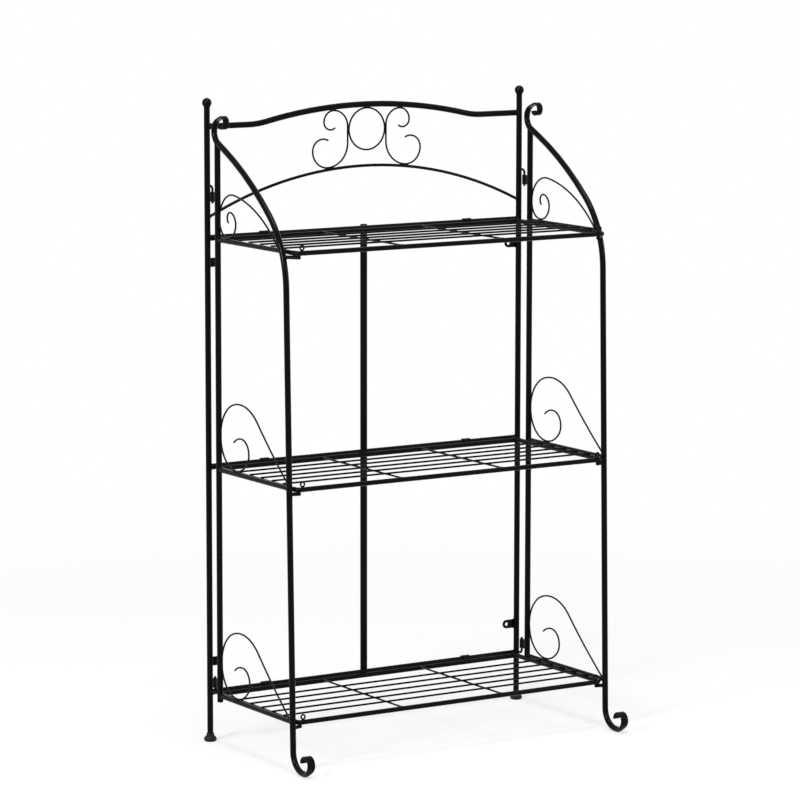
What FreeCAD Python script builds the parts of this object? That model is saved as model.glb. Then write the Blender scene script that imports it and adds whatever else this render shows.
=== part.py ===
import FreeCAD, Part
import math
import os

# Folding stand with three shelves, built in millimetres.
# X runs along the shelves, -Y points to the front, Z is up, the floor is z = 0.
# Depths are measured from the plane of the two posts; the last step moves the origin to the middle.

V = FreeCAD.Vector

# Overall sizes; a drop is measured down from the top of the stand
stand_h = 1070.0
post_spacing = 613.0
first_level_z = 83.0
top_level_drop = 229.0
level_count = 3
right_angle = 90.0

# Rod and tube sizes
post_d = 10.0
rail_d = 10.0
upright_d = 10.0
leg_d = 10.0
cross_rail_d = 8.0
shelf_rod_d = 8.0
slat_d = 3.2
centre_tube_d = 12.0
arch_rod_d = 5.0
scroll_d = 3.0
pin_d = 4.0
rest_d = 6.0
eye_wire_d = 2.8

# Depth of each member in front of the posts
upright_setback = 34.0
pin_setback = 17.0
rear_rail_setback = 14.0
front_rail_setback = 268.0
centre_tube_setback = -10.0

# Fits: weld_bite is how far a welded wire is sunk into what carries it
weld_bite = 0.4
running_clearance = 0.07
resting_gap = 0.3
side_gap = 1.0
shelf_drop = 2.0

# Posts, balls and foot caps
ball_d = 16.0
ball_socket_share = 0.6
cap_d = 21.4
cap_h = 14.0
cap_floor_t = 3.0
cap_radius_shares = (0.86, 1.0, 1.0, 0.62, 0.58, 0.58)
cap_height_shares = (0.0, 0.16, 0.42, 0.74, 0.8, 1.0)

# Arched top rail and the arched rod below it
top_rail_drop = 46.5
crown_rise = 25.5
crown_half_w = 228.0
crown_foot_bend_r = 150.0
arch_rod_drop = 123.5
arch_rod_bend_r = 682.0

# Ring and the two scrolls in the crest, bends as radii and turns in degrees
crest_ring_r = 35.0
crest_top_radii = (27.0, 19.0, 13.0)
crest_top_angles = (90.0, 90.0, 130.0)
crest_low_radii = (40.0, 28.0, 20.0)
crest_low_angles = (90.0, 90.0, 120.0)

# Fixing ears on the posts
lower_ear_z = 134.0
upper_ear_drop = 270.0
ear_h = 15.0
ear_t = 2.0
ear_hole_d = 6.5
ear_hole_offset = 18.5
ear_root_share = 0.2

# Hinge pins on the posts and their eyes on the uprights
pin_low_z = 85.0
pin_high_drop = 143.0
pin_bend_r = 6.0
pin_drop = 22.0
pin_tip = 3.0
eye_gap = 3.0
hinge_eye_d = 7.6
hinge_web_t = 3.0

# Front leg: straight part, crook, rolled top and scroll foot. The crook is stretched to meet the upright
leg_front_offset = 1.4
leg_top_drop = 31.88
leg_heading = 88.65
crook_radii = (159.0, 586.0)
crook_angles = (46.8, 16.5)
crook_tail_l = 25.7
curl_setback = 10.58
curl_bend_r = 20.8
curl_flat_l = 18.5
curl_roll_radii = (7.3, 5.0)
curl_roll_angles = (180.0, 150.0)
foot_bend_r = 31.0
foot_flat_l = 5.5
foot_taper_r = 23.4
foot_taper_angle = 56.3
foot_roll_radii = (12.4, 38.8)
foot_roll_angles = (125.0, 44.4)
flat_end_w = 11.0
flat_end_t = 4.0

# Rear upright of each side frame
upright_low_z = 73.5
upright_top_gap = 0.4

# Scrolls of the side frames, bends as radii and turns in degrees
scroll_root_l = 6.0
scroll_heading = 38.7
scroll_radii = (1209.3, 1209.3, 79.0, 57.5, 48.7, 23.5, 36.3)
scroll_angles = (-0.7, -5.6, 60.5, 100.3, 110.8, 127.0, 46.4)
upper_scroll_heading = 46.6
upper_scroll_radii = (233.2, 233.2, 42.2, 26.5, 25.2, 18.9, 9.6)
upper_scroll_angles = (2.4, 36.0, 108.8, 96.7, 59.7, 95.0, 150.8)
scroll_lead_count = 4

# Shelf
corner_bend_r = 8.0
slat_count = 5
first_slat_setback = 88.0
last_slat_gap = 39.2
slat_end_gap = 6.5
cross_bar_spacing = 195.0
clip_spacing = 400.0
clip_w = 14.0
clip_t = 1.8
clip_tongue_t = 3.0
corner_eye_r = 3.6
corner_eye_inset = 19.5

# Rests under the shelf corners
rest_reach = 17.0
rest_front_inset = 4.0

# Sizes that follow from the ones above
side_x = post_spacing / 2
post_r = post_d / 2
rail_r = rail_d / 2
leg_r = leg_d / 2
upright_r = upright_d / 2
cross_r = cross_rail_d / 2
rod_r = shelf_rod_d / 2
slat_r = slat_d / 2
scroll_r = scroll_d / 2
arch_r = arch_rod_d / 2
pin_r = pin_d / 2
rest_r = rest_d / 2
eye_wire_r = eye_wire_d / 2
level_pitch = (stand_h - top_level_drop - first_level_z) / (level_count - 1)
levels = [first_level_z + level_pitch * k for k in range(level_count)]
level_names = ("lower", "middle", "upper")
top_rail_z = stand_h - top_rail_drop
crown_z = top_rail_z + crown_rise
arch_rod_crown_z = stand_h - arch_rod_drop
slat_pitch = (front_rail_setback - last_slat_gap - first_slat_setback) / (slat_count - 1)
shelf_side_x = side_x - leg_r - side_gap - rod_r


def straight(start, end, radius):
    """Round rod between two points."""
    run = end - start
    return Part.makeCylinder(radius, run.Length, start, run)


def largest(shape):
    """The main solid of a cut shape, without the scraps left inside its neighbours."""
    return max(shape.Solids, key=lambda s: s.Volume)


def coped(shape, neighbours):
    """Shape cut back to the surface of the pieces that it is welded to."""
    return largest(shape.cut(neighbours))


class Path:
    """Bend table followed in one plane, giving a wire that a rod is swept along."""

    def __init__(self, origin, across, upward, u, w, heading):
        self.origin = origin
        self.across = across
        self.upward = upward
        self.u = u
        self.w = w
        self.heading = math.radians(heading)
        self.edges = []
        self.runs = []

    def point(self, u, w):
        return self.origin + self.across * u + self.upward * w

    def here(self):
        return self.point(self.u, self.w)

    def forward(self, length):
        start = self.here()
        low = (self.u, self.w)
        self.u += length * math.cos(self.heading)
        self.w += length * math.sin(self.heading)
        self.edges.append(Part.LineSegment(start, self.here()).toShape())
        self.runs.append((low, (self.u, self.w), None, 0, 0))

    def bend(self, radius, turn):
        """Arc of the given radius, turning left for positive degrees."""
        side = math.copysign(1.0, turn)
        centre_u = self.u - side * radius * math.sin(self.heading)
        centre_w = self.w + side * radius * math.cos(self.heading)
        places = [self.here()]
        low = (self.u, self.w)
        for share in (0.5, 1.0):
            angle = self.heading + math.radians(turn) * share
            self.u = centre_u + side * radius * math.sin(angle)
            self.w = centre_w - side * radius * math.cos(angle)
            places.append(self.here())
        self.heading = self.heading + math.radians(turn)
        self.edges.append(Part.Arc(*places).toShape())
        self.runs.append((low, (self.u, self.w), (centre_u, centre_w), radius, side))

    def bends(self, radii, angles, side=1.0):
        for radius, turn in zip(radii, angles):
            self.bend(radius, turn * side)

    def u_at(self, w):
        """Place along the path where it rises past height w."""
        for low, high, centre, radius, side in self.runs:
            if not low[1] <= w <= high[1]:
                continue
            if centre is None:
                return low[0] + (high[0] - low[0]) * (w - low[1]) / (high[1] - low[1])
            return centre[0] + side * math.sqrt(radius ** 2 - (w - centre[1]) ** 2)
        raise ValueError("the path doesn't reach this height")

    def w_at(self, u):
        """Height where the path first passes u."""
        for low, high, centre, radius, side in self.runs:
            reach = [low[0], high[0]]
            if side > 0:
                reach.append(centre[0] + radius)
            if not min(reach) <= u <= max(reach):
                continue
            if centre is None:
                return low[1] + (high[1] - low[1]) * (u - low[0]) / (high[0] - low[0])
            return centre[1] - side * math.sqrt(radius ** 2 - (u - centre[0]) ** 2)
        raise ValueError("the path doesn't reach this place")


def travel(radii, angles, heading, side):
    """Run, rise and last heading of a row of bends."""
    run, rise = 0.0, 0.0
    for radius, turn in zip(radii, angles):
        after = heading + side * math.radians(turn)
        run += side * radius * (math.sin(after) - math.sin(heading))
        rise += side * radius * (math.cos(heading) - math.cos(after))
        heading = after
    return run, rise, heading


def end_state(edge, at_end):
    """Point and direction at one end of an edge."""
    parameter = edge.LastParameter if at_end else edge.FirstParameter
    return edge.valueAt(parameter), edge.tangentAt(parameter)


def round_section(edge, at_end, radius):
    place, direction = end_state(edge, at_end)
    return Part.Wire([Part.Circle(place, direction, radius).toShape()])


def flat_section(edge, at_end):
    """Flattened tube section, wide along X."""
    place, direction = end_state(edge, at_end)
    wide = V(1, 0, 0)
    thin = direction.cross(wide)
    outline = Part.Ellipse(place + wide * (flat_end_w / 2), place + thin * (flat_end_t / 2), place)
    return Part.Wire([outline.toShape()])


def round_bar(edges, radius):
    """Round rod along joined edges."""
    return Part.Wire(edges).makePipeShell([round_section(edges[0], False, radius)], True, False)


def flat_bar(edges):
    return Part.Wire(edges).makePipeShell([flat_section(edges[0], False)], True, False)


def taper_bar(edge, radius):
    """Tube beaten flat along one edge."""
    sections = [round_section(edge, False, radius), flat_section(edge, True)]
    return Part.Wire([edge]).makePipeShell(sections, True, False)


def joined(pieces):
    """One solid from pieces that share end faces."""
    shape = pieces[0]
    for piece in pieces[1:]:
        shape = shape.fuse(piece)
    return shape.removeSplitter()


def export(name, shapes, shift):
    """Write one named piece, or a set of equal pieces, as a file."""
    solids = []
    for shape in shapes:
        solids.extend(shape.Solids)
    body = solids[0] if len(solids) == 1 else Part.makeCompound(solids)
    for solid in solids:
        if not solid.isValid():
            raise ValueError("bad solid in " + name)
    moved = body.translated(V(0, shift, 0))
    moved.exportStep(os.path.join("parts", name + ".step"))


def middle_depth(pieces):
    """Depth of the middle of the whole stand, where the origin goes."""
    boxes = [shape.BoundBox for shapes in pieces.values() for shape in shapes]
    return (min(box.YMin for box in boxes) + max(box.YMax for box in boxes)) / 2


# Back frame


def make_posts():
    top = stand_h - ball_d / 2 - ball_d / 2 * ball_socket_share
    return [straight(V(s * side_x, 0, cap_floor_t), V(s * side_x, 0, top), post_r) for s in (-1, 1)]


def make_balls(posts):
    balls = []
    for s, post in zip((-1, 1), posts):
        ball = Part.makeSphere(ball_d / 2, V(s * side_x, 0, stand_h - ball_d / 2))
        balls.append(ball.cut(post))
    return balls


def make_foot_caps(posts):
    """Turned caps that the posts stand in."""
    caps = []
    for s, post in zip((-1, 1), posts):
        rim = [V(cap_d / 2 * r, 0, cap_h * h) for r, h in zip(cap_radius_shares, cap_height_shares)]
        outline = Part.makePolygon([V(0, 0, 0)] + rim + [V(0, 0, cap_h), V(0, 0, 0)])
        cap = Part.Face(outline).revolve(V(0, 0, 0), V(0, 0, 1), 360)
        cap.translate(V(s * side_x, 0, 0))
        caps.append(cap.cut(post))
    return caps


def make_back_rails(posts):
    rails = []
    for z in levels:
        rod = straight(V(-side_x, 0, z), V(side_x, 0, z), rail_r)
        rails.append(coped(rod, posts))
    return rails


def crown_angle():
    return 2 * math.atan(crown_rise / crown_half_w)


def crown_bend_r():
    return crown_half_w / math.sin(crown_angle()) - crown_foot_bend_r


def make_top_rail(posts):
    """Level at the posts, rising to a low arch over the middle."""
    path = Path(V(0, 0, 0), V(1, 0, 0), V(0, 0, 1), -side_x, top_rail_z, 0)
    turn = math.degrees(crown_angle())
    path.forward(side_x - crown_half_w)
    path.bend(crown_foot_bend_r, turn)
    path.bend(crown_bend_r(), -2 * turn)
    path.bend(crown_foot_bend_r, turn)
    path.forward(side_x - crown_half_w)
    return coped(round_bar(path.edges, rail_r), posts)


def arch_rod_z(x):
    """Height of the arched rod's axis at x."""
    return arch_rod_crown_z - arch_rod_bend_r + math.sqrt(arch_rod_bend_r ** 2 - x ** 2)


def make_arched_rod(posts):
    places = [V(x, 0, arch_rod_z(x)) for x in (-side_x, 0, side_x)]
    return coped(round_bar([Part.Arc(*places).toShape()], arch_r), posts)


def make_centre_tube(rails):
    """Tube welded behind the back rails."""
    low = V(0, -centre_tube_setback, levels[0] - rail_r)
    high = V(0, -centre_tube_setback, levels[-1] + rail_r)
    return coped(straight(low, high, centre_tube_d / 2), rails)


def ring_centre_z():
    return crown_z - rail_r - scroll_r + weld_bite - crest_ring_r


def make_crest_ring(top_rail):
    ring = Part.makeTorus(crest_ring_r, scroll_r, V(0, 0, ring_centre_z()), V(0, 1, 0))
    return coped(ring, [top_rail])


def top_rail_z_at(x):
    """Height of the arched part of the top rail's axis at x."""
    radius = crown_bend_r()
    return crown_z - radius + math.sqrt(radius ** 2 - x ** 2)


def make_crest_scrolls(top_rail, arched_rod, ring):
    """Pair of wires back to back with the ring, curling outwards at both ends."""
    back_x = crest_ring_r + 2 * scroll_r - weld_bite
    high_x = back_x + crest_top_radii[0]
    low_x = back_x + crest_low_radii[0]
    high_z = top_rail_z_at(high_x) - rail_r - scroll_r + weld_bite - crest_top_radii[0]
    low_z = arch_rod_z(low_x) + arch_r + scroll_r - weld_bite + crest_low_radii[0]
    scrolls = []
    for s in (-1, 1):
        up = Path(V(0, 0, 0), V(s, 0, 0), V(0, 0, 1), back_x, low_z, right_angle)
        up.forward(high_z - low_z)
        up.bends(crest_top_radii, crest_top_angles, -1.0)
        down = Path(V(0, 0, 0), V(s, 0, 0), V(0, 0, 1), back_x, low_z, -right_angle)
        down.bends(crest_low_radii, crest_low_angles)
        wire = joined([round_bar(up.edges, scroll_r), round_bar(down.edges, scroll_r)])
        scrolls.append(coped(wire, [top_rail, arched_rod, ring]))
    return scrolls


def make_ears(posts):
    """Flat lugs with a hole, flush with the back of the posts."""
    ears = []
    back_y = post_r
    for s, post in zip((-1, 1), posts):
        for z in (lower_ear_z, stand_h - upper_ear_drop):
            hole_x = s * (side_x - ear_hole_offset)
            root_x = s * (side_x - post_d * ear_root_share)
            low_x = min(hole_x, root_x)
            plate = Part.makeBox(abs(root_x - hole_x), ear_t, ear_h, V(low_x, back_y - ear_t, z - ear_h / 2))
            tip = Part.makeCylinder(ear_h / 2, ear_t, V(hole_x, back_y - ear_t, z), V(0, 1, 0))
            hole = Part.makeCylinder(ear_hole_d / 2, ear_t, V(hole_x, back_y - ear_t, z), V(0, 1, 0))
            ears.append(coped(joined([plate, tip]), [hole, post]))
    return ears


def pin_roots():
    """Height of each pin's root and the side to which the pin turns."""
    return (pin_low_z, -1.0), (stand_h - pin_high_drop, 1.0)


def make_pins(posts):
    """Bent pins: the lower ones point up and the upper ones down, so the frames can't lift off."""
    pins = []
    for s, post in zip((-1, 1), posts):
        for z, side in pin_roots():
            path = Path(V(s * side_x, 0, 0), V(0, 1, 0), V(0, 0, 1), 0, z, 2 * right_angle)
            path.forward(pin_setback - pin_bend_r)
            path.bend(pin_bend_r, right_angle * side)
            path.forward(pin_drop)
            pins.append(coped(round_bar(path.edges, pin_r), [post]))
    return pins


# Side frames


def leg_knee_y():
    """Depth where the straight part of the leg starts, beside the shelf's front rail."""
    return -front_rail_setback - leg_front_offset


def leg_knee_z():
    """Height where the foot's bend starts, so that the foot stands on the floor."""
    return leg_r + foot_bend_r * (1 - math.cos(math.radians(leg_heading)))


def leg_fit():
    """Length of the straight part and stretch of the crook that bring the curl over the upright."""
    start = math.radians(leg_heading)
    crook_run, crook_rise, heading = travel(crook_radii, crook_angles, start, -1.0)
    crook_run += crook_tail_l * math.cos(heading)
    crook_rise += crook_tail_l * math.sin(heading)
    curl_angle = 2 * right_angle - math.degrees(heading)
    curl_run, curl_rise, heading = travel([curl_bend_r], [curl_angle], heading, 1.0)
    run = -upright_setback - curl_setback - leg_knee_y() - curl_run
    rise = stand_h - leg_top_drop - leg_knee_z() - curl_rise
    scale = math.cos(start) * crook_rise - math.sin(start) * crook_run
    straight_l = (run * crook_rise - rise * crook_run) / scale
    stretch = (math.cos(start) * rise - math.sin(start) * run) / scale
    return straight_l, stretch


def leg_path(s):
    """Leg from the knee to the end of the curl."""
    straight_l, stretch = leg_fit()
    origin = V(s * side_x, 0, 0)
    path = Path(origin, V(0, 1, 0), V(0, 0, 1), leg_knee_y(), leg_knee_z(), leg_heading)
    path.forward(straight_l)
    path.bends([radius * stretch for radius in crook_radii], crook_angles, -1.0)
    path.forward(crook_tail_l * stretch)
    path.bend(curl_bend_r, 2 * right_angle - math.degrees(path.heading))
    return path


def leg_y(z):
    """Depth of the leg's axis at height z."""
    return leg_path(1).u_at(z)


def make_leg(s):
    """One tube: scroll foot, straight, crook and rolled top, with both ends beaten flat."""
    up = leg_path(s)
    round_count = len(up.edges)
    up.forward(curl_flat_l)
    up.bends(curl_roll_radii, curl_roll_angles)
    back = leg_heading - 2 * right_angle
    down = Path(up.origin, V(0, 1, 0), V(0, 0, 1), leg_knee_y(), leg_knee_z(), back)
    down.bend(foot_bend_r, -leg_heading)
    down.forward(foot_flat_l)
    foot_count = len(down.edges)
    down.bend(foot_taper_r, -foot_taper_angle)
    down.bends(foot_roll_radii, foot_roll_angles, -1.0)
    pieces = [round_bar(up.edges[:round_count], leg_r)]
    pieces.append(taper_bar(up.edges[round_count], leg_r))
    pieces.append(flat_bar(up.edges[round_count + 1:]))
    pieces.append(round_bar(down.edges[:foot_count], leg_r))
    pieces.append(taper_bar(down.edges[foot_count], leg_r))
    pieces.append(flat_bar(down.edges[foot_count + 1:]))
    return joined(pieces)


def make_upright(s, leg):
    low = V(s * side_x, -upright_setback, upright_low_z)
    high = V(s * side_x, -upright_setback, leg_path(s).w_at(-upright_setback) - upright_top_gap)
    return coped(straight(low, high, upright_r), [leg])


def make_cross_rails(s, leg, upright):
    rails = []
    for z in levels:
        rod = straight(V(s * side_x, -upright_setback, z), V(s * side_x, leg_y(z), z), cross_r)
        rails.append(coped(rod, [leg, upright]))
    return rails


def make_scroll(s, level, heading, radii, angles, neighbours):
    """Wire scroll that stands on a cross rail, welded to the upright and at its root."""
    path = Path(V(s * side_x, 0, 0), V(0, 1, 0), V(0, 0, 1), 0, level, heading)
    path.forward(scroll_root_l)
    path.bends(radii, angles, -1.0)
    loop_low = min(edge.BoundBox.ZMin for edge in path.edges[scroll_lead_count:])
    rear = max(edge.BoundBox.YMax for edge in path.edges)
    wire = round_bar(path.edges, scroll_r)
    rise = level + cross_r + scroll_r - weld_bite - loop_low
    back = -upright_setback - upright_r - scroll_r + weld_bite - rear
    wire.translate(V(0, back, rise))
    return coped(wire, neighbours)


def make_hinge_eyes(s, upright):
    """Short eyes that turn on the pins, each with a web to the upright."""
    eyes = []
    eye_l = pin_drop - pin_tip - eye_gap
    for z, side in pin_roots():
        near = z - side * (pin_bend_r + eye_gap)
        low = min(near, near - side * eye_l)
        centre = V(s * side_x, -pin_setback, low)
        barrel = Part.makeCylinder(hinge_eye_d / 2, eye_l, centre)
        corner = V(s * side_x - hinge_web_t / 2, -upright_setback, low)
        web = Part.makeBox(hinge_web_t, upright_setback - pin_setback, eye_l, corner)
        bore = Part.makeCylinder(pin_r + running_clearance, eye_l, centre)
        eyes.append(coped(joined([barrel, web]), [bore, upright]))
    return eyes


def make_rests(s, leg):
    """Short rods under the front corners of the shelves."""
    rests = []
    for level in levels:
        z = level - shelf_drop - rod_r - resting_gap - rest_r
        inner = V(s * (side_x - rest_reach), -front_rail_setback + rest_front_inset, z)
        rod = straight(V(s * side_x, leg_y(z), z), inner, rest_r)
        rests.append(coped(rod, [leg]))
    return rests


# Shelves


def make_shelf_end_rail(level, y, side):
    """Front or rear rail of a shelf with its two short bent corners."""
    run = shelf_side_x - corner_bend_r
    start_y = y + side * corner_bend_r
    centre = V(0, 0, level - shelf_drop)
    path = Path(centre, V(1, 0, 0), V(0, 1, 0), -shelf_side_x, start_y, -right_angle * side)
    path.bend(corner_bend_r, right_angle * side)
    path.forward(2 * run)
    path.bend(corner_bend_r, right_angle * side)
    return round_bar(path.edges, rod_r)


def make_side_rails(level):
    rods = []
    for s in (-1, 1):
        rear = V(s * shelf_side_x, -rear_rail_setback - corner_bend_r, level - shelf_drop)
        front = V(s * shelf_side_x, -front_rail_setback + corner_bend_r, level - shelf_drop)
        rods.append(straight(rear, front, rod_r))
    return rods


def slat_z(level):
    return level - shelf_drop + rod_r + slat_r - weld_bite


def make_slats(level, side_rails):
    """Thin rods laid across the side rails."""
    slats = []
    half = side_x - slat_end_gap
    for k in range(slat_count):
        y = -first_slat_setback - slat_pitch * k
        rod = straight(V(-half, y, slat_z(level)), V(half, y, slat_z(level)), slat_r)
        slats.append(coped(rod, side_rails))
    return slats


def make_cross_bars(level, rails, slats):
    """Two bars from back to front, under the slats."""
    bars = []
    z = slat_z(level) - slat_d + weld_bite / 2
    for s in (-1, 1):
        x = s * cross_bar_spacing / 2
        rod = straight(V(x, -rear_rail_setback, z), V(x, -front_rail_setback, z), slat_r)
        bars.append(coped(rod, rails + slats))
    return bars


def make_clips(level, rear_rail):
    """Clips wrapped round the back rail, in which the shelf turns."""
    clips = []
    inner_r = rail_r + running_clearance
    for s in (-1, 1):
        x = s * clip_spacing / 2 - clip_w / 2
        ring = Part.makeCylinder(inner_r + clip_t, clip_w, V(x, 0, level), V(1, 0, 0))
        corner = V(x, -rear_rail_setback, level - shelf_drop - clip_tongue_t / 2)
        tongue = Part.makeBox(clip_w, rear_rail_setback, clip_tongue_t, corner)
        bore = Part.makeCylinder(inner_r, clip_w, V(x, 0, level), V(1, 0, 0))
        clips.append(coped(joined([ring, tongue]), [bore, rear_rail]))
    return clips


def make_corner_eyes(level, front_rail):
    """Small wire eyes standing on the front rail near its corners."""
    eyes = []
    z = level - shelf_drop + rod_r + eye_wire_r + corner_eye_r - weld_bite
    for s in (-1, 1):
        centre = V(s * (side_x - corner_eye_inset), -front_rail_setback, z)
        ring = Part.makeTorus(corner_eye_r, eye_wire_r, centre, V(0, 1, 0))
        eyes.append(coped(ring, [front_rail]))
    return eyes


def back_frame_pieces():
    posts = make_posts()
    rails = make_back_rails(posts)
    top_rail = make_top_rail(posts)
    arched_rod = make_arched_rod(posts)
    ring = make_crest_ring(top_rail)
    pieces = {"post_left": posts[:1], "post_right": posts[1:]}
    for name, rail in zip(level_names, rails):
        pieces[name + "_back_rail"] = [rail]
    pieces["ball_finials"] = make_balls(posts)
    pieces["foot_caps"] = make_foot_caps(posts)
    pieces["top_rail"] = [top_rail]
    pieces["arched_rod"] = [arched_rod]
    pieces["centre_tube"] = [make_centre_tube(rails)]
    pieces["crest_ring"] = [ring]
    pieces["crest_scrolls"] = make_crest_scrolls(top_rail, arched_rod, ring)
    pieces["hinge_pins"] = make_pins(posts)
    pieces["fixing_ears"] = make_ears(posts)
    return pieces


def side_frame_pieces(s, side_name):
    leg = make_leg(s)
    upright = make_upright(s, leg)
    cross_rails = make_cross_rails(s, leg, upright)
    pieces = {"front_leg": [leg], "rear_upright": [upright], "cross_rails": cross_rails}
    for k, level in enumerate(levels):
        top = k == level_count - 1
        heading = upper_scroll_heading if top else scroll_heading
        radii = upper_scroll_radii if top else scroll_radii
        angles = upper_scroll_angles if top else scroll_angles
        wire = make_scroll(s, level, heading, radii, angles, [leg, upright, cross_rails[k]])
        pieces[level_names[k] + "_scroll"] = [wire]
    pieces["hinge_eyes"] = make_hinge_eyes(s, upright)
    pieces["shelf_rests"] = make_rests(s, leg)
    return {name + "_" + side_name: shapes for name, shapes in pieces.items()}


def shelf_pieces(level, name):
    front_rail = make_shelf_end_rail(level, -front_rail_setback, 1.0)
    rear_rail = make_shelf_end_rail(level, -rear_rail_setback, -1.0)
    side_rails = make_side_rails(level)
    slats = make_slats(level, side_rails)
    pieces = {"front_rail": [front_rail], "rear_rail": [rear_rail]}
    pieces["side_rails"] = side_rails
    pieces["slats"] = slats
    pieces["cross_bars"] = make_cross_bars(level, [front_rail, rear_rail], slats)
    pieces["pivot_clips"] = make_clips(level, rear_rail)
    pieces["corner_eyes"] = make_corner_eyes(level, front_rail)
    return {name + "_shelf_" + part: shapes for part, shapes in pieces.items()}


def build_stand():
    """All pieces, moved so that the origin lies on the floor under the middle of the stand."""
    pieces = back_frame_pieces()
    pieces.update(side_frame_pieces(-1, "left"))
    pieces.update(side_frame_pieces(1, "right"))
    for level, name in zip(levels, level_names):
        pieces.update(shelf_pieces(level, name))
    shift = -middle_depth(pieces)
    for name, shapes in pieces.items():
        export(name, shapes, shift)


os.makedirs("parts", exist_ok=True)
build_stand()
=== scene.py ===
import math

import bmesh
import bpy
from mathutils import Matrix, Vector


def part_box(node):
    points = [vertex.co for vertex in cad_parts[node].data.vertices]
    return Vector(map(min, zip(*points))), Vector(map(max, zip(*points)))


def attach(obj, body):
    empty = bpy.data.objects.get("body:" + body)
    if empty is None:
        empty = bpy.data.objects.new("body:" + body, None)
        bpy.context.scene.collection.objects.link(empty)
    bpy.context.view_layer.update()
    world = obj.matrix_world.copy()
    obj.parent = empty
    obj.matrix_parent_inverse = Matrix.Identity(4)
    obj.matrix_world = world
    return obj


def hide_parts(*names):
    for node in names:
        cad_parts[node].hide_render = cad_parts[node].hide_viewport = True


bl_info = {
    "name": "Folding stand with scrolls",
    "version": (1, 0, 0),
    "blender": (4, 5, 0),
    "location": "3D View > Sidebar > Stand",
    "description": "Welds, plugs, foot caps and finishes for a folding stand with three shelves",
    "category": "Object",
}

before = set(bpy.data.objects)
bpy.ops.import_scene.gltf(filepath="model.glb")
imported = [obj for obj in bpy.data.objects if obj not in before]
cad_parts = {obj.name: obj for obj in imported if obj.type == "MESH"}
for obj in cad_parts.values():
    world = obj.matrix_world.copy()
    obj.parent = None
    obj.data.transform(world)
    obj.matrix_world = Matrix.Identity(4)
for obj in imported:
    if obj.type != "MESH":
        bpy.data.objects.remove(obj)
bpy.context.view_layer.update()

MM = 0.001
TINY = 1e-6
X, Y, Z = Vector((1, 0, 0)), Vector((0, 1, 0)), Vector((0, 0, 1))
SIDES = (-1, 1)
SIDE_NAMES = {-1: "left", 1: "right"}
LEVEL_NAMES = ("lower", "middle", "upper")


def box_centre(node):
    lo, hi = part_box(node)
    return (Vector(lo) + Vector(hi)) / 2


def box_size(node):
    lo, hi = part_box(node)
    return Vector(hi) - Vector(lo)


# Places and sizes read from the frame, in metres
POST_X = box_centre("post_right").x
POST_Y = box_centre("post_right").y
POST_R = box_size("post_right").x / 2
LEVELS = {name: box_centre(name + "_back_rail").z for name in LEVEL_NAMES}
RAIL_R = box_size("lower_back_rail").z / 2
UPRIGHT = box_centre("rear_upright_right")
UPRIGHT_R = box_size("rear_upright_right").x / 2
CROSS_R = box_size("cross_rails_right").x / 2
SHELF_ROD_R = box_size("lower_shelf_side_rails").z / 2
SLAT_R = box_size("lower_shelf_slats").z / 2
TUBE = box_centre("centre_tube")
TUBE_R = box_size("centre_tube").x / 2

# Places and sizes of the solids that no node's box gives
PIN_R = 2.0 * MM
ARCH_ROD_R = 2.5 * MM
REST_R = 3.0 * MM
REST_Y = POST_Y - 264.0 * MM
LEG_R = 5.0 * MM
TOP_RAIL_END_X = 295 * MM

# Gaps that tell the separate solids of one node apart
FAR_APART = 60 * MM
SLATS_APART = 10 * MM

# Strip at the beaten ends of the front legs, a little wider and thinner than the plain solid's
FOOT_STRIP_W = 14.4 * MM
TOP_STRIP_W = 11.6 * MM
STRIP_T = 3.0 * MM
STRIP_CORNER = 1.6 * MM

# Rings of points along a front leg
LEG_POINTS = 48
STRIP_STEP = 0.9 * MM
BEND_STEP = 4
LONG_RUN = 40 * MM
LEG_SHARP_EDGE = math.radians(50)

# Where the beads and tacks lie on the parts that they join
LOOP_POINTS = 32
BEAD_SINK = 0.05 * MM
CORNER_BEAD_SINK = 0.35 * MM
POST_NEAR = 0.5 * MM
END_NEAR = 0.15 * MM
CROSSING_NEAR = 3 * MM
CROSSING_BELOW = 20 * MM
CROSSING_ABOVE = 12 * MM
CROSSING_RISE = 3 * MM
PIN_ROOT = 12 * MM
ARCH_START = 3 * MM
EAR_ROOT = 3.6 * MM
EAR_WELD_Z = 7.5 * MM
SLAT_WELD_DROP = 0.9 * MM
CLIP_WELD_X = 7 * MM
CLIP_WELD_Y = 3.4 * MM

# Shapes of the tacks along, across and up, as shares of the tack size
BLOB = Vector((1.5, 1.15, 0.7))
WIRE_BLOB = Vector((1.25, 0.95, 0.95))
SLAT_END_BLOB = Vector((1.2, 1.75, 0.8))
SLAT_BAR_BLOB = Vector((1.25, 1.25, 0.75))

# Foot caps, necks, plugs and rounded tips
CAP_GAP = 0.02 * MM
NECK_SKIN = 0.03 * MM
NECK_SUNK = 0.3 * MM
PLUG_SHANK = 3 * MM
DOME_STEPS = 8

# Surfaces
BUMP_HEIGHT = 0.03 * MM
DUST_COLOUR = (0.05, 0.048, 0.045, 1.0)
WHITE = (1.0, 1.0, 1.0, 1.0)

# Camera fitted to the stand's straight edges, the focal length and the image width in pixels
FOCAL_LENGTH = 4009.1
IMAGE_W = 800.0
SENSOR_W = 36.0
CLIP_END = 200.0
CAMERA_PLACE = (-3.5282, -5.5277, 1.5107)
CAMERA_AZIMUTH = math.radians(-32.306)
CAMERA_DOWN = math.radians(8.17)
CAMERA_ROLL = math.radians(0.068)

# Name, place, aim, width and height of each soft light, in metres
LIGHTS = (
    ("key", (-4.1, -1.6, 2.5), (0, 0, 0.6), 0.7, 1.3),
    ("fill", (3.4, -3.0, 1.9), (0, 0, 0.6), 0.8, 1.2),
    ("top", (-0.4, -0.8, 3.8), (0, 0, 0.4), 1.2, 1.2),
)

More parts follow.
